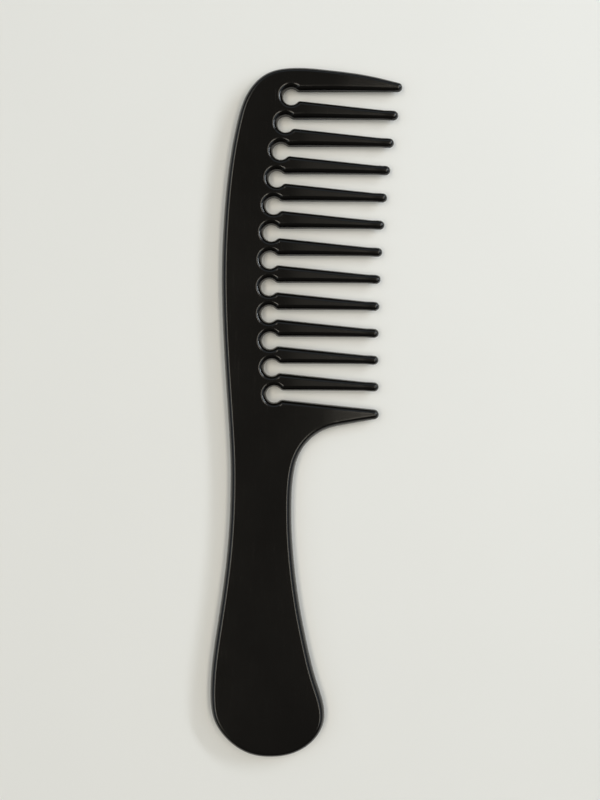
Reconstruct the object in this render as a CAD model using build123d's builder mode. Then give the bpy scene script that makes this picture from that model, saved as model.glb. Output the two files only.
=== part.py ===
"""Wide tooth comb with a handle: one plastic moulding, divided into its named zones.

The comb lies flat, as on a table.
    +X  across the comb, from its back to the tips of the teeth
    +Y  along the comb, from the butt of the handle to the crown
    +Z  up, out of the table
The origin is under the middle of the comb, on the table. All sizes are in millimetres.

Zones: a handle, a spine that holds the round root holes, and thirteen teeth. Every tooth
starts in a straight root plane just past the hole above it.
"""
import math
import os

from build123d import *

os.makedirs("parts", exist_ok=True)

# ---------------------------------------------------------------- driving dimensions
LENGTH = 220.0
WIDTH = 61.3
THICKNESS = 5.2
EDGE_ROUNDING = 1.5
TIP_ROUNDING = 1.1           # edge rounding where a tooth meets its round tip
MOUTH_ROUNDING = 1.7         # corner between a root hole and its slot, in plan

TOOTH_COUNT = 13
GAP_COUNT = TOOTH_COUNT - 1
FIRST_GAP_Y = 102.4          # straight edge of the crown tooth, above the first gap
FIRST_PITCH = 8.79
PITCH_EASING = 0.0104        # the pitch closes up slightly towards the heel

HOLE_RADIUS = 2.6
HOLE_ARC_RADIUS = 294.0      # the root holes lie on this arc
HOLE_ARC_MIDDLE_Y = 36.6
HOLE_ARC_LEFT_X = -11.9
FIRST_HOLE_DROP = 1.62       # hole centre below the straight edge of its gap
LAST_HOLE_DROP = 1.27

THROAT = 2.7                 # width of a gap at its hole centre, and how fast it widens
GAP_FLARE = 0.106

TIP_ARC_RADIUS = 504.0       # the ends of the teeth lie on this arc
TIP_ARC_MIDDLE_Y = 14.7
TIP_ARC_LEFT_X = 22.93
TIP_BULB = 0.18              # how far a tip swells past the tooth on each side
TIP_SETBACK = 1.35           # last section of a tooth, back from its end
TIP_DROP = 0.15              # how far an inner tooth leans towards the heel at its tip

ROOT_REACH = 4.4             # root plane of a tooth, past the centre of the hole above it
HANDLE_TOP_Y = -20.0

HALF_LENGTH = LENGTH / 2
HALF_WIDTH = WIDTH / 2
HALF_THICKNESS = THICKNESS / 2
MIDDLE = Plane.XY.offset(HALF_THICKNESS)


# ---------------------------------------------------------------- rows of the comb
def gap_top(gap):
    """Height of the straight upper edge of a gap, which is the lower edge of its tooth."""
    return FIRST_GAP_Y - FIRST_PITCH * gap + PITCH_EASING * gap**2


def hole_centre(gap):
    """Centre of the root hole of a gap."""
    drop = FIRST_HOLE_DROP + (LAST_HOLE_DROP - FIRST_HOLE_DROP) * gap / (GAP_COUNT - 1)
    y = gap_top(gap) - drop
    bow = HOLE_ARC_RADIUS - math.sqrt(HOLE_ARC_RADIUS**2 - (y - HOLE_ARC_MIDDLE_Y)**2)
    return Vector(HOLE_ARC_LEFT_X + bow, y)


def gap_bottom(gap, x):
    """Height of the sloping lower edge of a gap, which is the upper edge of the next tooth."""
    return gap_top(gap) - THROAT - GAP_FLARE * (x - hole_centre(gap).X)


def tip_end_x(y):
    """Where a tooth at height y ends."""
    bow = TIP_ARC_RADIUS - math.sqrt(TIP_ARC_RADIUS**2 - (y - TIP_ARC_MIDDLE_Y)**2)
    return TIP_ARC_LEFT_X + bow


# ---------------------------------------------------------------- outline of the moulding
CROWN_TOP = (-2.6, HALF_LENGTH)
HEAD_BACK = (-27.03, 43.0)
WAIST_BACK = (-24.2, -20.5)
BUTT_BACK = (-HALF_WIDTH, -89.5)
BUTT_END = (-11.6, -HALF_LENGTH)
BUTT_FRONT = (5.78, -96.6)
WAIST_FRONT = (-4.8, -32.0)

SHOULDER = (-22.25, 92.25)
SHOULDER_SLOPE = (-0.23, -1)
CROWN_CORNER = [(-12.65, 108.2), (-18.8, 102.1)]
UPPER_BACK = [(-25.05, 76.0), (-26.47, 60.0)]
LOWER_BACK = [(-26.37, 21.0), (-25.07, 0.0)]
GRIP_BACK = [(-25.87, -50.0), (-28.72, -70.0)]
BUTT_CORNER_BACK = [(-29.65, -97.8), (-24.67, -105.05), (-17.9, -109.1)]
BUTT_CORNER_FRONT = [(-4.7, -109.05), (0.9, -106.05), (4.37, -102.0)]
GRIP_FRONT = [(3.25, -86.0), (0.25, -74.2), (-2.05, -62.5), (-3.8, -49.5)]
HEEL_WEB = [(-4.15, -20.0), (-2.98, -15.05), (0.0, -9.9)]
HEEL_ROOT = (5.2, -5.88)
HEEL_MIDDLE = (13.0, -3.78)
CROWN_ROOT = (8.0, 109.2)
CROWN_MIDDLE = (20.0, 107.55)
CROWN_TIP_TOP = (HALF_WIDTH - 1.475, 105.4)
HEEL_TIP_BOTTOM = (21.55, -2.3)
CROWN_TIP_SLOPE = (-1, 0.25)
HEEL_TIP_SLOPE = (1, 0.15)

LEFT, RIGHT, DOWN, UP = (-1, 0), (1, 0), (0, -1), (0, 1)


def outline_edges():
    """Outer edge of the whole comb, closed by a straight line past the roots of the teeth.

    The curves are kept apart, one for each stretch, because a builder context would merge
    the tangent ones and a rim can't be rounded along such a merged curve.
    """
    stretches = [
        ([CROWN_TOP, *CROWN_CORNER, SHOULDER], LEFT, SHOULDER_SLOPE),
        ([SHOULDER, *UPPER_BACK, HEAD_BACK], SHOULDER_SLOPE, DOWN),
        ([HEAD_BACK, *LOWER_BACK, WAIST_BACK], DOWN, DOWN),
        ([WAIST_BACK, *GRIP_BACK, BUTT_BACK], DOWN, DOWN),
        ([BUTT_BACK, *BUTT_CORNER_BACK, BUTT_END], DOWN, RIGHT),
        ([BUTT_END, *BUTT_CORNER_FRONT, BUTT_FRONT], RIGHT, UP),
        ([BUTT_FRONT, *GRIP_FRONT, WAIST_FRONT], UP, UP),
        ([WAIST_FRONT, *HEEL_WEB, HEEL_ROOT, HEEL_MIDDLE, HEEL_TIP_BOTTOM], UP, HEEL_TIP_SLOPE),
        ([CROWN_TIP_TOP, CROWN_MIDDLE, CROWN_ROOT, CROWN_TOP], CROWN_TIP_SLOPE, LEFT),
    ]
    curves = [Spline(*points, tangents=ends) for points, *ends in stretches]
    return [*curves, Line(HEEL_TIP_BOTTOM, CROWN_TIP_TOP)]


# ---------------------------------------------------------------- spine and handle
def root_x(tooth):
    """Root plane of a tooth: just past the root hole above it, or where a guard begins."""
    if tooth == 1:
        return CROWN_ROOT[0]
    if tooth == TOOTH_COUNT:
        return HEEL_ROOT[0]
    return hole_centre(tooth - 2).X + ROOT_REACH


def gap_profile(gap):
    """One gap in plan: its round root hole and the flaring slot that leaves it."""
    centre = hole_centre(gap)
    top = gap_top(gap)
    with BuildSketch(mode=Mode.PRIVATE) as profile:
        with Locations(centre):
            Circle(HOLE_RADIUS)
        with BuildLine():
            Polyline(
                (centre.X, top),
                (WIDTH, top),
                (WIDTH, gap_bottom(gap, WIDTH)),
                (centre.X, gap_bottom(gap, centre.X)),
                close=True,
            )
        make_face()
        mouth = profile.vertices().filter_by(lambda corner: corner.X < centre.X + HOLE_RADIUS)
        fillet(mouth, radius=MOUTH_ROUNDING)
    return profile.sketch


def tooth_lane(tooth):
    """The strip in plan that a tooth fills, from its root plane to past its tip."""
    above = LENGTH if tooth == 1 else gap_top(tooth - 2) - THROAT / 2
    below = WAIST_BACK[1] if tooth == TOOTH_COUNT else gap_top(tooth - 1) - THROAT / 2
    left = root_x(tooth)
    with BuildSketch(mode=Mode.PRIVATE) as lane:
        with BuildLine():
            Polyline((left, above), (WIDTH, above), (WIDTH, below), (left, below), close=True)
        make_face()
    return lane.sketch


def build_plate():
    """Handle and spine in one piece, with short stubs where the teeth will start."""
    outline = make_face(outline_edges())
    with BuildPart() as plate:
        extrude(MIDDLE * outline, amount=HALF_THICKNESS, both=True, clean=False)
        with BuildSketch(MIDDLE):
            for gap in range(GAP_COUNT):
                add(gap_profile(gap))
            for tooth in range(1, TOOTH_COUNT + 1):
                add(tooth_lane(tooth))
        extrude(amount=HALF_THICKNESS, both=True, mode=Mode.SUBTRACT, clean=False)
        rims = plate.faces().filter_by(Axis.Z).edges().filter_by(Axis.Y, reverse=True)
        fillet(rims, radius=EDGE_ROUNDING)
    return plate.part


# ---------------------------------------------------------------- teeth
def tooth_stations(tooth):
    """Where the sections of a tooth stand: its distance along X and its two edges."""
    if tooth == 1:
        high_edge = [CROWN_ROOT, CROWN_MIDDLE, CROWN_TIP_TOP]
        return [(x, gap_top(0), y) for x, y in high_edge]
    above = tooth - 2
    if tooth == TOOTH_COUNT:
        low_edge = [HEEL_ROOT, HEEL_MIDDLE, HEEL_TIP_BOTTOM]
        return [(x, y, gap_bottom(above, x)) for x, y in low_edge]
    low = gap_top(tooth - 1)
    root, tip = root_x(tooth), tip_end_x(low) - TIP_SETBACK
    return [(root, low, gap_bottom(above, root)), (tip, low - TIP_DROP, gap_bottom(above, tip))]


def build_tooth(tooth):
    """A tooth that tapers in width and thickness to a round tip."""
    stations = tooth_stations(tooth)
    root, tip = stations[0], stations[-1]
    swell = 0 if tooth in (1, TOOTH_COUNT) else TIP_BULB
    tip_width = tip[2] - tip[1]
    tip_radius = tip_width / 2 + swell
    with BuildPart() as body:
        for x, low, high in stations:
            along = (x - root[0]) / (tip[0] - root[0])
            thickness = THICKNESS + (tip_width - THICKNESS) * along
            rounding = EDGE_ROUNDING + (TIP_ROUNDING - EDGE_ROUNDING) * along
            section = Plane((x, (low + high) / 2, HALF_THICKNESS), x_dir=(0, 1, 0), z_dir=(1, 0, 0))
            with BuildSketch(section):
                RectangleRounded(high - low, thickness, rounding)
        loft()
        with Locations((tip[0], (tip[1] + tip[2]) / 2, HALF_THICKNESS)):
            Sphere(tip_radius)
    return body.part


# ---------------------------------------------------------------- the pieces
moulding = build_plate()

with BuildPart() as handle:
    add(moulding)
    split(bisect_by=Plane.XZ.offset(-HANDLE_TOP_Y), keep=Keep.TOP)

with BuildPart() as spine:
    add(moulding)
    split(bisect_by=Plane.XZ.offset(-HANDLE_TOP_Y), keep=Keep.BOTTOM)

names = ["crown_guard_tooth"]
names += [f"tooth_{number:02d}" for number in range(2, TOOTH_COUNT)]
names += ["heel_guard_tooth"]

pieces = {"handle": handle.part, "spine": spine.part}
for number, name in enumerate(names, start=1):
    pieces[name] = build_tooth(number)

for name, piece in pieces.items():
    piece.label = name
    export_step(piece, f"parts/{name}.step")
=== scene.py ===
"""Looks of the wide tooth comb: its moulded surface, its plastic, the table, the light and the camera.

The comb's surface is made as one closed skin, because the real comb is one moulding, and is
then divided at the CAD's own cut planes into one piece for each node. Lengths are in
millimetres until a mesh is made, which is in metres, as the frame is.
"""
import math

import bpy
import numpy as np
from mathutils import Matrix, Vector
from mathutils.geometry import delaunay_2d_cdt


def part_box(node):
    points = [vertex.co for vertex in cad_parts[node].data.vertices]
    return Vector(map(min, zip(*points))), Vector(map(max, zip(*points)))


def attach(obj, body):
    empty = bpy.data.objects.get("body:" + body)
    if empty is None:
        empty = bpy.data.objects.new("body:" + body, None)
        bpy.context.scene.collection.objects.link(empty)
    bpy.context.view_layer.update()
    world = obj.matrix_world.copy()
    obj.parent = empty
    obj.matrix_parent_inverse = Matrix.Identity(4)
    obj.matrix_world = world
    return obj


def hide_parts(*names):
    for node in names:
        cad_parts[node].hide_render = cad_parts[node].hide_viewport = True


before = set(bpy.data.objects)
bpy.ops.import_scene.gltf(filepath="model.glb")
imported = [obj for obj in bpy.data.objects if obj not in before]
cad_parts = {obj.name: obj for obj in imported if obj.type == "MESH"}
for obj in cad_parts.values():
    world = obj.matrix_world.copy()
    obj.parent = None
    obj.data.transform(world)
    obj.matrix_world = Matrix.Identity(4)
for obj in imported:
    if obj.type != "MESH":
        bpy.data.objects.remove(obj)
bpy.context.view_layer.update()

MM = 0.001

# ---------------------------------------------------------------- sizes, as in the CAD
TOOTH_COUNT = 13
GAP_COUNT = TOOTH_COUNT - 1
GUARDS = {1: "crown_guard_tooth", TOOTH_COUNT: "heel_guard_tooth"}


def tooth_name(tooth):
    return GUARDS.get(tooth, f"tooth_{tooth:02d}")


def node_box(name):
    """Lowest and highest corner of a CAD node, in millimetres."""
    low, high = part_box(name)
    return np.array(low) / MM, np.array(high) / MM


HALF_THICKNESS = node_box("handle")[1][2] / 2
HALF_LENGTH = node_box("spine")[1][1]
HALF_WIDTH = -node_box("handle")[0][0]
HANDLE_TOP_Y = node_box("handle")[1][1]
ROOT_X = {tooth: node_box(tooth_name(tooth))[0][0] for tooth in range(1, TOOTH_COUNT + 1)}
END_X = {tooth: node_box(tooth_name(tooth))[1][0] for tooth in range(1, TOOTH_COUNT + 1)}

FIRST_GAP_Y = 102.4          # straight edge of the crown tooth, above the first gap
FIRST_PITCH = 8.79
PITCH_EASING = 0.0104        # the pitch closes up slightly towards the heel
HOLE_RADIUS = 2.6
HOLE_ARC_RADIUS = 294.0      # the root holes lie on this arc
HOLE_ARC_MIDDLE_Y = 36.6
HOLE_ARC_LEFT_X = -11.9
FIRST_HOLE_DROP = 1.62       # hole centre below the straight edge of its gap
LAST_HOLE_DROP = 1.27
MOUTH_ROUNDING = 1.7         # corner between a root hole and its slot
THROAT = 2.7                 # width of a gap at its hole centre, and how fast it widens
GAP_FLARE = 0.106
TIP_DROP = 0.15              # how far an inner tooth leans towards the heel at its tip

CROWN_TOP = (-2.6, HALF_LENGTH)
HEAD_BACK = (-27.03, 43.0)
WAIST_BACK = (-24.2, -20.5)
BUTT_BACK = (-HALF_WIDTH, -89.5)
BUTT_END = (-11.6, -HALF_LENGTH)
BUTT_FRONT = (5.78, -96.6)
WAIST_FRONT = (-4.8, -32.0)
SHOULDER = (-22.25, 92.25)
SHOULDER_SLOPE = (-0.23, -1)
CROWN_CORNER = [(-12.65, 108.2), (-18.8, 102.1)]
UPPER_BACK = [(-25.05, 76.0), (-26.47, 60.0)]
LOWER_BACK = [(-26.37, 21.0), (-25.07, 0.0)]
GRIP_BACK = [(-25.87, -50.0), (-28.72, -70.0)]
BUTT_CORNER_BACK = [(-29.65, -97.8), (-24.67, -105.05), (-17.9, -109.1)]
BUTT_CORNER_FRONT = [(-4.7, -109.05), (0.9, -106.05), (4.37, -102.0)]
GRIP_FRONT = [(3.25, -86.0), (0.25, -74.2), (-2.05, -62.5), (-3.8, -49.5)]
HEEL_WEB = [(-4.15, -20.0), (-2.98, -15.05), (0.0, -9.9)]
HEEL_ROOT = (5.2, -5.88)
HEEL_MIDDLE = (13.0, -3.78)
CROWN_ROOT = (8.0, 109.2)
CROWN_MIDDLE = (20.0, 107.55)
CROWN_TIP_TOP = (HALF_WIDTH - 1.475, 105.4)
HEEL_TIP_BOTTOM = (21.55, -2.3)
CROWN_TIP_SLOPE = (-1, 0.25)
HEEL_TIP_SLOPE = (1, 0.15)
LEFT, RIGHT, DOWN, UP = (-1, 0), (1, 0), (0, -1), (0, 1)

# ---------------------------------------------------------------- how the moulding is rounded
RIM_WIDTH = 1.65             # the rim is half an ellipse, this wide and as tall as the comb
RIM_SHARE = 0.97             # a narrow tooth is nearly all rim
RIM_BLEND = 10               # how soon the rim narrows as a tooth does
RIM_STEPS = 10               # faces from the side of the rim to the top
SEAM_PROUD = 0.03            # the line where the two halves of the mould met
SEAM_HALF_HEIGHT = 0.03
SEAM_FOOT = 0.05
TIP_SWELL = 0.18             # a tooth swells a little towards its round tip
TIP_SWELL_LENGTH = 3.2
TAPER_START = 0.25           # share of a tooth over which its thickness begins to fall

OUTLINE_STEP = 1.0
TOOTH_STEP = 0.8
ARC_STEP = math.radians(5)
FACE_STEP = 1.6              # spacing of the points inside the flat faces
FACE_MARGIN = 0.6            # share of that spacing kept clear along the edge of a face
SNAP_LENGTH = 0.3            # an outline point this close to the handle's cut is moved onto it

# ---------------------------------------------------------------- plastic, table, camera and room
GRAIN_DEPTH = 0.0000012      # depths of the bumps, in metres
SCRATCH_DEPTH = 0.0000015
TABLE_HALF = 4.0             # in metres
CAMERA_CENTRE = (-2.02, 3.93)
CAMERA_HEIGHT = 355.3        # above the middle of the comb's thickness
ROOM_DISTANCE = 1.5          # of every light but the window, in metres
WINDOW_DISTANCE = 0.85
DAYLIGHT = (0.72, 0.86, 1.0)
LAMPLIGHT = (1.0, 0.93, 0.79)
SKYLIGHT = (0.88, 0.94, 1.0)


def unit(vector):
    return np.asarray(vector, float) / np.linalg.norm(vector)


# ---------------------------------------------------------------- rows of the comb
def gap_top(gap):
    """Height of the straight upper edge of a gap, which is the lower edge of its tooth."""
    return FIRST_GAP_Y - FIRST_PITCH * gap + PITCH_EASING * gap**2


def hole_centre(gap):
    """Centre of the root hole of a gap."""
    drop = FIRST_HOLE_DROP + (LAST_HOLE_DROP - FIRST_HOLE_DROP) * gap / (GAP_COUNT - 1)
    y = gap_top(gap) - drop
    bow = HOLE_ARC_RADIUS - math.sqrt(HOLE_ARC_RADIUS**2 - (y - HOLE_ARC_MIDDLE_Y)**2)
    return np.array([HOLE_ARC_LEFT_X + bow, y])


def gap_bottom(gap, x):
    """Height of the sloping lower edge of a gap, which is the upper edge of the next tooth."""
    return gap_top(gap) - THROAT - GAP_FLARE * (x - hole_centre(gap)[0])


def smooth_step(share):
    share = np.clip(share, 0, 1)
    return share * share * (3 - 2 * share)


# ---------------------------------------------------------------- curves in plan
def smooth_curve(points, start, end, step=OUTLINE_STEP):
    """Points on the cubic spline through the given ones, with its directions at both ends."""
    knots = np.array(points, float)
    chords = np.linalg.norm(np.diff(knots, axis=0), axis=1)
    slopes = np.diff(knots, axis=0) / chords[:, None]
    system = np.eye(len(knots))
    target = np.zeros_like(knots)
    target[0] = unit(start)
    target[-1] = unit(end)
    for i in range(1, len(knots) - 1):
        before, after = chords[i - 1], chords[i]
        system[i, i - 1:i + 2] = after, 2 * (before + after), before
        target[i] = 3 * (after * slopes[i - 1] + before * slopes[i])
    rates = np.linalg.solve(system, target)
    curve = []
    for i, chord in enumerate(chords):
        for t in np.linspace(0, 1, max(2, round(chord / step)), endpoint=False):
            along = knots[i] * (1 + 2 * t) * (1 - t)**2 + knots[i + 1] * t * t * (3 - 2 * t)
            bend = rates[i] * t * (1 - t)**2 - rates[i + 1] * t * t * (1 - t)
            curve.append(along + chord * bend)
    return [*curve, knots[-1]]


def arc(centre, radius, start, end):
    """Points on an arc from one angle to another, both ends included."""
    count = max(3, round(abs(end - start) / ARC_STEP))
    angles = np.linspace(start, end, count + 1)
    return [centre + radius * np.array([math.cos(a), math.sin(a)]) for a in angles]


def angle_of(vector):
    return math.atan2(vector[1], vector[0])


def outer_edge():
    """The edge of the comb from the crown tip over the back and the butt to the heel tip."""
    stretches = [
        ([CROWN_TIP_TOP, CROWN_MIDDLE, CROWN_ROOT, CROWN_TOP], CROWN_TIP_SLOPE, LEFT),
        ([CROWN_TOP, *CROWN_CORNER, SHOULDER], LEFT, SHOULDER_SLOPE),
        ([SHOULDER, *UPPER_BACK, HEAD_BACK], SHOULDER_SLOPE, DOWN),
        ([HEAD_BACK, *LOWER_BACK, WAIST_BACK], DOWN, DOWN),
        ([WAIST_BACK, *GRIP_BACK, BUTT_BACK], DOWN, DOWN),
        ([BUTT_BACK, *BUTT_CORNER_BACK, BUTT_END], DOWN, RIGHT),
        ([BUTT_END, *BUTT_CORNER_FRONT, BUTT_FRONT], RIGHT, UP),
        ([BUTT_FRONT, *GRIP_FRONT, WAIST_FRONT], UP, UP),
        ([WAIST_FRONT, *HEEL_WEB, HEEL_ROOT, HEEL_MIDDLE, HEEL_TIP_BOTTOM], UP, HEEL_TIP_SLOPE),
    ]
    edge = []
    for points, start, end in stretches:
        edge += smooth_curve(points, start, end)[:-1]
    return [*edge, np.array(HEEL_TIP_BOTTOM)]


def mouth_centre(hole, corner, along, inward):
    """Centre of the rounding between a root hole and the straight edge that leaves it.

    The edge passes through corner, points along, and has the plastic on its inward side.
    """
    reach = HOLE_RADIUS + MOUTH_ROUNDING
    depth = MOUTH_ROUNDING - np.dot(hole - corner, inward)
    past = np.dot(hole - corner, along) + math.sqrt(reach**2 - depth**2)
    return corner + along * past + inward * MOUTH_ROUNDING


def root_hole_edge(gap):
    """Edge of a gap from the tooth below it, round the root hole, to the tooth above it."""
    hole = hole_centre(gap)
    below_in = unit((-GAP_FLARE, -1))
    above_in = np.array(UP, float)
    below = mouth_centre(hole, hole + (0, gap_top(gap) - THROAT - hole[1]), unit((1, -GAP_FLARE)), below_in)
    above = mouth_centre(hole, hole + (0, gap_top(gap) - hole[1]), np.array(RIGHT, float), above_in)
    edge = arc(below, MOUTH_ROUNDING, angle_of(-below_in), angle_of(hole - below))[:-1]
    edge += arc(hole, HOLE_RADIUS, angle_of(below - hole), angle_of(above - hole) - 2 * math.pi)[:-1]
    edge += arc(above, MOUTH_ROUNDING, angle_of(hole - above), angle_of(-above_in))
    return edge


# ---------------------------------------------------------------- teeth in plan
def edge_normals(tooth):
    """Outward directions of the lower and the upper edge of a tooth, at its tip."""
    low = (HEEL_TIP_SLOPE[1], -1) if tooth == TOOTH_COUNT else DOWN
    high = (CROWN_TIP_SLOPE[1], 1) if tooth == 1 else (GAP_FLARE, 1)
    return unit(low), unit(high)


def straight_edges(tooth, x):
    """Heights of the lower and the upper edge of a tooth at x, without its swelling."""
    if tooth == 1:
        slope = CROWN_TIP_SLOPE[1] / CROWN_TIP_SLOPE[0]
        return gap_top(0), CROWN_TIP_TOP[1] + slope * (x - CROWN_TIP_TOP[0])
    high = gap_bottom(tooth - 2, x)
    if tooth == TOOTH_COUNT:
        slope = HEEL_TIP_SLOPE[1] / HEEL_TIP_SLOPE[0]
        return HEEL_TIP_BOTTOM[1] + slope * (x - HEEL_TIP_BOTTOM[0]), high
    along = np.clip((x - ROOT_X[tooth]) / (END_X[tooth] - ROOT_X[tooth]), 0, 1)
    return gap_top(tooth - 1) - TIP_DROP * along**2, high


def tip_circle(tooth):
    """Centre and radius of the circle that ends a tooth and touches both of its edges."""
    lean = sum(1 / abs(normal[1]) for normal in edge_normals(tooth))
    full = 0 if tooth in GUARDS else TIP_SWELL
    radius = 0.0
    for _ in range(12):
        low, high = straight_edges(tooth, END_X[tooth] - radius)
        radius = (high - low) / lean + full
    centre_y = low - full + radius / abs(edge_normals(tooth)[0][1])
    return np.array([END_X[tooth] - radius, centre_y]), radius


TIPS = {tooth: tip_circle(tooth) for tooth in range(1, TOOTH_COUNT + 1)}


def swell(tooth, x):
    """How far an inner tooth swells at x, on every side."""
    if tooth in GUARDS:
        return 0.0 * x
    return TIP_SWELL * smooth_step(1 - (TIPS[tooth][0][0] - x) / TIP_SWELL_LENGTH)


def tooth_edge(tooth, side):
    """Lower (0) or upper (1) edge of a tooth, from its root plane to its round tip."""
    centre, radius = TIPS[tooth]
    last = centre[0] + radius * edge_normals(tooth)[side][0]
    count = round((last - ROOT_X[tooth]) / TOOTH_STEP)
    xs = np.linspace(ROOT_X[tooth], last, count + 1)
    ys = straight_edges(tooth, xs)[side] + (2 * side - 1) * swell(tooth, xs)
    return list(np.column_stack([xs, ys + 0 * xs]))


def tooth_at(points):
    """Number of the tooth that each point lies on, or 0 on the spine and the handle."""
    x, y = points[:, 0], points[:, 1]
    tooth = np.ones(len(points), int)
    for gap in range(GAP_COUNT):
        tooth += y < gap_top(gap) - THROAT / 2 - GAP_FLARE * np.maximum(x - hole_centre(gap)[0], 0) / 2
    root = np.array([ROOT_X[number] for number in tooth])
    return np.where((x > root - 1e-4) & (y > WAIST_BACK[1]), tooth, 0)


def half_height(tooth, x):
    """Half the thickness of a tooth at x: it falls smoothly to that of the round tip."""
    centre, radius = TIPS[tooth]
    along = np.clip((x - ROOT_X[tooth]) / (centre[0] - ROOT_X[tooth]), 0, 1)
    start = along**2 / (2 * TAPER_START)
    fall = np.where(along < TAPER_START, start, along - TAPER_START / 2) / (1 - TAPER_START / 2)
    slim = radius - swell(tooth, centre[0])
    return HALF_THICKNESS - (HALF_THICKNESS - slim) * fall + swell(tooth, x)


# ---------------------------------------------------------------- the whole outline
def comb_outline():
    """The whole edge of the comb, counterclockwise, closed from its last point to its first."""
    edge = outer_edge()
    for tooth in range(TOOTH_COUNT, 0, -1):
        if tooth < TOOTH_COUNT:
            edge += tooth_edge(tooth, 0)
        centre, radius = TIPS[tooth]
        low, high = edge_normals(tooth)
        edge += arc(centre, radius, angle_of(low), angle_of(high))[1 if tooth < TOOTH_COUNT else 0:]
        if tooth > 1:
            edge += tooth_edge(tooth, 1)[::-1][1:]
            edge += root_hole_edge(tooth - 2)
    return cut_at_handle(np.array(edge))


def cut_at_handle(edge):
    """The same outline with a point exactly where the handle begins, on both sides."""
    after = np.roll(edge, -1, axis=0)
    crossing = np.flatnonzero((edge[:, 1] > HANDLE_TOP_Y) != (after[:, 1] > HANDLE_TOP_Y))
    for i in crossing[::-1]:
        share = (HANDLE_TOP_Y - edge[i, 1]) / (after[i, 1] - edge[i, 1])
        point = edge[i] + share * (after[i] - edge[i])
        if min(share, 1 - share) * np.linalg.norm(after[i] - edge[i]) < SNAP_LENGTH:
            edge[(i + round(share)) % len(edge)] = point
        else:
            edge = np.insert(edge, i + 1, point, axis=0)
    return edge


def zones_of(edge):
    """Name of the CAD node that each stretch of the outline belongs to."""
    middles = (edge + np.roll(edge, -1, axis=0)) / 2
    names = [tooth_name(tooth) if tooth else "spine" for tooth in tooth_at(middles)]
    return ["handle" if y < HANDLE_TOP_Y else name for y, name in zip(middles[:, 1], names)]


def inward_normals(edge):
    """Which way the plastic lies from each point of the outline."""
    back = edge - np.roll(edge, 1, axis=0)
    on = np.roll(edge, -1, axis=0) - edge
    back_length = np.linalg.norm(back, axis=1)[:, None]
    on_length = np.linalg.norm(on, axis=1)[:, None]
    heading = back / back_length * on_length + on / on_length * back_length
    heading /= np.linalg.norm(heading, axis=1)[:, None]
    return np.column_stack([-heading[:, 1], heading[:, 0]])


def rim_widths(edge, inward):
    """Width of the rim at each point: full, or less where the plastic is narrow or turns sharply.

    The room at a point is the radius of the largest circle in plan that touches the edge
    there and stays inside the plastic.
    """
    room = np.empty(len(edge))
    for i, (point, normal) in enumerate(zip(edge, inward)):
        away = edge - point
        depth = away @ normal
        ahead = depth > 1e-6
        room[i] = ((away[ahead]**2).sum(axis=1) / (2 * depth[ahead])).min()
    return ((RIM_SHARE * room)**-RIM_BLEND + RIM_WIDTH**-RIM_BLEND)**(-1 / RIM_BLEND)


def stay_in_cuts(inward, zones):
    """The same directions, with those at a cut kept in the plane of the cut."""
    mitred = inward.copy()
    for i, zone in enumerate(zones):
        pair = {zones[i - 1], zone}
        if len(pair) == 2:
            axis = 0 if "handle" in pair else 1
            mitred[i] = 0
            mitred[i, axis] = 1 / inward[i, axis]
    return mitred


# ---------------------------------------------------------------- the skin
def rim_profile():
    """The rim's section from the lower face to the upper one: set back, share of width, height."""
    tilts = np.linspace(math.pi / 2, 0, RIM_STEPS + 1)[1:]
    turns = np.arctan2(HALF_THICKNESS * np.cos(tilts), RIM_WIDTH * np.sin(tilts))
    foot, crest = SEAM_FOOT / HALF_THICKNESS, SEAM_HALF_HEIGHT / HALF_THICKNESS
    upper = [(0, 0, crest), (SEAM_PROUD, 0, foot)]
    upper += [(SEAM_PROUD, 1 - math.cos(turn), math.sin(turn)) for turn in turns]
    lower = [(back, share, -height) for back, share, height in upper[::-1]]
    return np.array(lower + upper)


def rim_sections(edge, zones):
    """Every point of the rim, by outline point and by place in the section."""
    inward = inward_normals(edge)
    widths = rim_widths(edge, inward)
    profile = rim_profile()
    depth = profile[:, 0] + widths[:, None] * profile[:, 1]
    plan = edge[:, None] + stay_in_cuts(inward, zones)[:, None] * depth[:, :, None]
    heights = np.broadcast_to(profile[:, 2] * HALF_THICKNESS, depth.shape)
    return np.concatenate([plan, heights[:, :, None]], axis=2)


def inside(polygon, points):
    """Whether each point lies inside the closed polygon."""
    x, y = points[:, :1], points[:, 1:]
    ax, ay = polygon.T
    bx, by = np.roll(polygon, -1, axis=0).T
    spans = (ay > y) != (by > y)
    rise = np.where(ay == by, 1, by - ay)
    return (spans & (x < ax + (y - ay) * (bx - ax) / rise)).sum(axis=1) % 2 == 1


def face_points(polygon):
    """A triangular lattice of points inside a polygon, clear of its corners."""
    low, high = polygon.min(axis=0), polygon.max(axis=0)
    row_height = FACE_STEP * math.sqrt(3) / 2
    lattice = []
    for row, y in enumerate(np.arange(low[1] + row_height / 2, high[1], row_height)):
        xs = np.arange(low[0] + FACE_STEP / 2 * (row % 2), high[0], FACE_STEP)
        lattice += [(x, y) for x in xs]
    if not lattice:
        return np.zeros((0, 2))
    lattice = np.array(lattice)
    lattice = lattice[inside(polygon, lattice)]
    gaps = [np.linalg.norm(polygon - point, axis=1).min() for point in lattice]
    return lattice[np.array(gaps) > FACE_STEP * FACE_MARGIN] if len(lattice) else lattice


def face_triangles(polygon):
    """Triangles that fill a polygon, and the points added inside it."""
    inner = face_points(polygon)
    every = [Vector(point) for point in [*polygon, *inner]]
    loop = list(range(len(polygon)))
    _, _, faces, sources, _, _ = delaunay_2d_cdt(every, [], [loop], 1, 1e-6)
    back = [source[0] for source in sources]
    return [[back[corner] for corner in face] for face in faces], inner


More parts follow.
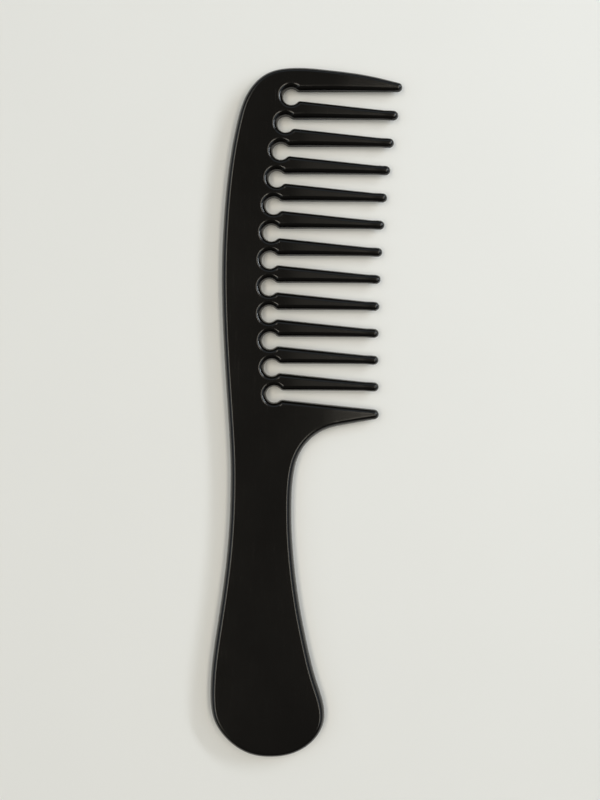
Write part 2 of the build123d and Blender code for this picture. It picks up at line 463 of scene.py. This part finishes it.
def moulding():
    """The whole comb as one list of points and, for each zone, its faces and its cut faces."""
    edge = comb_outline()
    zones = zones_of(edge)
    sections = rim_sections(edge, zones)
    count, tall = sections.shape[:2]
    points = [tuple(point) for point in sections.reshape(-1, 3)]
    skins, cuts = {}, {}
    for i, zone in enumerate(zones):
        j = (i + 1) % count
        strip = [(i * tall + k, j * tall + k, j * tall + k + 1, i * tall + k + 1) for k in range(tall - 1)]
        skins.setdefault(zone, []).extend(strip)
    for zone in skins:
        loop = [i for i in range(count) if zone in (zones[i], zones[i - 1])]
        polygon = sections[loop, -1, :2]
        triangles, inner = face_triangles(polygon)
        for level, turn in ((tall - 1, 1), (0, -1)):
            height = sections[0, level, 2]
            ids = [i * tall + level for i in loop] + list(range(len(points), len(points) + len(inner)))
            points += [(x, y, height) for x, y in inner]
            skins[zone] += [tuple(ids[corner] for corner in triangle[::turn]) for triangle in triangles]
        cuts[zone] = []
        for a, b in zip(loop, loop[1:] + loop[:1]):
            if b != (a + 1) % count or zones[a] != zone:
                start = [a * tall + k for k in range(tall)]
                cuts[zone].append(tuple(start[::-1] + [b * tall + k for k in range(tall)]))
    return thin_teeth(np.array(points)), skins, cuts


def thin_teeth(points):
    """The same points, with the teeth thinner towards their tips and the comb on the table."""
    for i, tooth in enumerate(tooth_at(points)):
        if tooth:
            points[i, 2] *= half_height(tooth, points[i, 0]) / HALF_THICKNESS
    points[:, 2] += HALF_THICKNESS
    return points


# ---------------------------------------------------------------- pieces
def mesh_normals(points, faces):
    """Smooth normal of the given faces at every point."""
    mesh = bpy.data.meshes.new("normals_only")
    mesh.from_pydata((points * MM).tolist(), [], faces)
    normals = np.zeros(len(points) * 3, np.float32)
    mesh.vertex_normals.foreach_get("vector", normals)
    bpy.data.meshes.remove(mesh)
    return normals.reshape(-1, 3)


def skin_normals(points, skins):
    """Smooth normals over the whole moulding, so that no joint between zones shows.

    The rim is made of quads and the flat faces of triangles. The rim meets the flat faces
    level, so their corners take their normals from the triangles alone.
    """
    faces = [face for skin in skins.values() for face in skin]
    flats = [face for face in faces if len(face) == 3]
    on_flats = sorted({corner for face in flats for corner in face})
    normals = mesh_normals(points, faces)
    normals[on_flats] = mesh_normals(points, flats)[on_flats]
    return normals


def make_piece(zone, points, skin, cut, normals, material):
    """One closed piece of the moulding: its share of the skin and the faces where it was cut."""
    faces = skin + cut
    used = sorted({corner for face in faces for corner in face})
    place = {old: new for new, old in enumerate(used)}
    mesh = bpy.data.meshes.new(f"{zone}_moulded")
    mesh.from_pydata((points[used] * MM).tolist(), [], [[place[c] for c in face] for face in faces])
    mesh.polygons.foreach_set("use_smooth", [True] * len(faces))
    mesh.update()
    corners = [normals[corner] for face in skin for corner in face]
    for polygon in mesh.polygons[len(skin):]:
        corners += [polygon.normal.copy()] * polygon.loop_total
    mesh.normals_split_custom_set([tuple(normal) for normal in corners])
    mesh.materials.append(material)
    piece = bpy.data.objects.new(f"{zone}_moulded", mesh)
    bpy.context.scene.collection.objects.link(piece)
    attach(piece, "root")
    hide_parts(zone)


# ---------------------------------------------------------------- materials
def new_material(name):
    material = bpy.data.materials.new(name)
    material.use_nodes = True
    nodes = material.node_tree.nodes
    return material, nodes, material.node_tree.links, nodes["Principled BSDF"]


def add_noise(nodes, links, coordinates, per_mm, detail=3.0, stretch=(1, 1, 1), turn=0.0):
    """A noise of about per_mm grains in a millimetre, stretched and turned about Z."""
    mapping = nodes.new("ShaderNodeMapping")
    mapping.inputs["Rotation"].default_value = (0, 0, turn)
    mapping.inputs["Scale"].default_value = [share / MM * per_mm for share in stretch]
    noise = nodes.new("ShaderNodeTexNoise")
    noise.inputs["Scale"].default_value = 1.0
    noise.inputs["Detail"].default_value = detail
    links.new(coordinates, mapping.inputs["Vector"])
    links.new(mapping.outputs["Vector"], noise.inputs["Vector"])
    return noise.outputs["Fac"]


def add_range(nodes, links, value, low, high, out_low, out_high):
    """A value carried from one range to another and held inside it."""
    node = nodes.new("ShaderNodeMapRange")
    node.inputs["From Min"].default_value = low
    node.inputs["From Max"].default_value = high
    node.inputs["To Min"].default_value = out_low
    node.inputs["To Max"].default_value = out_high
    links.new(value, node.inputs["Value"])
    return node.outputs["Result"]


def add_bump(nodes, links, height, depth, below=None):
    """A bump whose full height is depth, in metres, on top of the one below it."""
    bump = nodes.new("ShaderNodeBump")
    bump.inputs["Strength"].default_value = 1.0
    bump.inputs["Distance"].default_value = depth
    links.new(height, bump.inputs["Height"])
    if below is not None:
        links.new(below, bump.inputs["Normal"])
    return bump.outputs["Normal"]


def comb_plastic():
    """Black moulded plastic: a fine mould grain, faint handling scratches and a little dust."""
    material, nodes, links, shader = new_material("comb_plastic")
    place = nodes.new("ShaderNodeTexCoord").outputs["Object"]
    shader.inputs["IOR"].default_value = 1.5

    patches = add_noise(nodes, links, place, 0.06, detail=4)
    links.new(add_range(nodes, links, patches, 0.3, 0.7, 0.14, 0.165), shader.inputs["Roughness"])

    grain = add_noise(nodes, links, place, 5.0, detail=2)
    normal = add_bump(nodes, links, grain, GRAIN_DEPTH)
    for turn in (0.35, 1.9):
        lines = add_noise(nodes, links, place, 4.0, detail=1, stretch=(1, 0.02, 1), turn=turn)
        marks = add_range(nodes, links, lines, 0.68, 0.74, 0, 1)
        normal = add_bump(nodes, links, marks, -SCRATCH_DEPTH, normal)
    links.new(normal, shader.inputs["Normal"])

    mapping = nodes.new("ShaderNodeMapping")
    mapping.inputs["Scale"].default_value = (0.35 / MM,) * 3
    specks = nodes.new("ShaderNodeTexVoronoi")
    links.new(place, mapping.inputs["Vector"])
    links.new(mapping.outputs["Vector"], specks.inputs["Vector"])
    dust = add_range(nodes, links, specks.outputs["Distance"], 0.03, 0.05, 1, 0)
    tint = nodes.new("ShaderNodeMix")
    tint.data_type = "RGBA"
    tint.inputs["A"].default_value = (0.0033, 0.0028, 0.0023, 1)
    tint.inputs["B"].default_value = (0.03, 0.028, 0.025, 1)
    links.new(dust, tint.inputs["Factor"])
    links.new(tint.outputs["Result"], shader.inputs["Base Color"])
    return material


def table_paint():
    """A pale matt table top with a barely seen unevenness."""
    material, nodes, links, shader = new_material("table_paint")
    place = nodes.new("ShaderNodeTexCoord").outputs["Object"]
    shader.inputs["Roughness"].default_value = 0.7
    shader.inputs["Specular IOR Level"].default_value = 0.2
    patches = add_noise(nodes, links, place, 0.02, detail=3)
    tint = nodes.new("ShaderNodeMix")
    tint.data_type = "RGBA"
    tint.inputs["A"].default_value = (0.80, 0.80, 0.785, 1)
    tint.inputs["B"].default_value = (0.82, 0.82, 0.805, 1)
    links.new(patches, tint.inputs["Factor"])
    links.new(tint.outputs["Result"], shader.inputs["Base Color"])
    return material


# ---------------------------------------------------------------- table, light and camera
def add_table():
    """A wide flat table under the comb."""
    near, far = -TABLE_HALF, TABLE_HALF
    corners = [(near, near, 0), (far, near, 0), (far, far, 0), (near, far, 0)]
    mesh = bpy.data.meshes.new("table")
    mesh.from_pydata(corners, [], [(0, 1, 2, 3)])
    mesh.materials.append(table_paint())
    table = bpy.data.objects.new("table", mesh)
    bpy.context.scene.collection.objects.link(table)


def add_panel(name, azimuth, elevation, distance, size, power, colour):
    """A soft rectangular light that faces the comb, placed by its direction from it."""
    light = bpy.data.lights.new(name, "AREA")
    light.shape = "RECTANGLE"
    light.size, light.size_y = size
    light.energy = power
    light.color = colour
    panel = bpy.data.objects.new(name, light)
    flat = math.cos(math.radians(elevation))
    towards = Vector((
        flat * math.cos(math.radians(azimuth)),
        flat * math.sin(math.radians(azimuth)),
        math.sin(math.radians(elevation)),
    ))
    panel.location = towards * distance
    panel.rotation_euler = towards.to_track_quat("Z", "Y").to_euler()
    bpy.context.scene.collection.objects.link(panel)


def add_light():
    """A low window past the tooth tips, lamps high on both sides of the camera, and pale walls."""
    add_panel("window", 28, 30, WINDOW_DISTANCE, (0.55, 0.09), 2.7, SKYLIGHT)
    add_panel("lamp_right", 0, 69, ROOM_DISTANCE, (1.4, 0.3), 6.8, LAMPLIGHT)
    add_panel("lamp_left", 180, 70, ROOM_DISTANCE, (1.5, 0.4), 8.4, LAMPLIGHT)
    add_panel("ceiling", 0, 80, ROOM_DISTANCE, (1.0, 0.45), 0.4, LAMPLIGHT)
    add_panel("wall_right", 0, 40, ROOM_DISTANCE, (1.8, 1.0), 3.6, DAYLIGHT)
    add_panel("wall_left", 180, 40, ROOM_DISTANCE, (1.8, 1.0), 3.9, DAYLIGHT)
    add_panel("wall_beyond", 90, 40, ROOM_DISTANCE, (1.8, 1.0), 2.4, DAYLIGHT)


def add_world():
    """Faint light from all round, which also keeps the far background from being black."""
    world = bpy.data.worlds.new("room")
    world.use_nodes = True
    background = world.node_tree.nodes["Background"]
    background.inputs["Color"].default_value = (1.0, 0.99, 0.96, 1)
    background.inputs["Strength"].default_value = 0.06
    bpy.context.scene.world = world


def add_camera():
    """A camera straight above the comb."""
    data = bpy.data.cameras.new("camera")
    data.lens = 50
    data.sensor_width = 36
    data.clip_start = 0.01
    camera = bpy.data.objects.new("camera", data)
    camera.location = Vector((*CAMERA_CENTRE, HALF_THICKNESS + CAMERA_HEIGHT)) * MM
    bpy.context.scene.collection.objects.link(camera)
    bpy.context.scene.camera = camera


add_camera()
add_light()
add_world()
add_table()

points, skins, cuts = moulding()
normals = skin_normals(points, skins)
plastic = comb_plastic()
for zone, skin in skins.items():
    make_piece(zone, points, skin, cuts[zone], normals, plastic)

bpy.context.scene.view_settings.view_transform = "Standard"
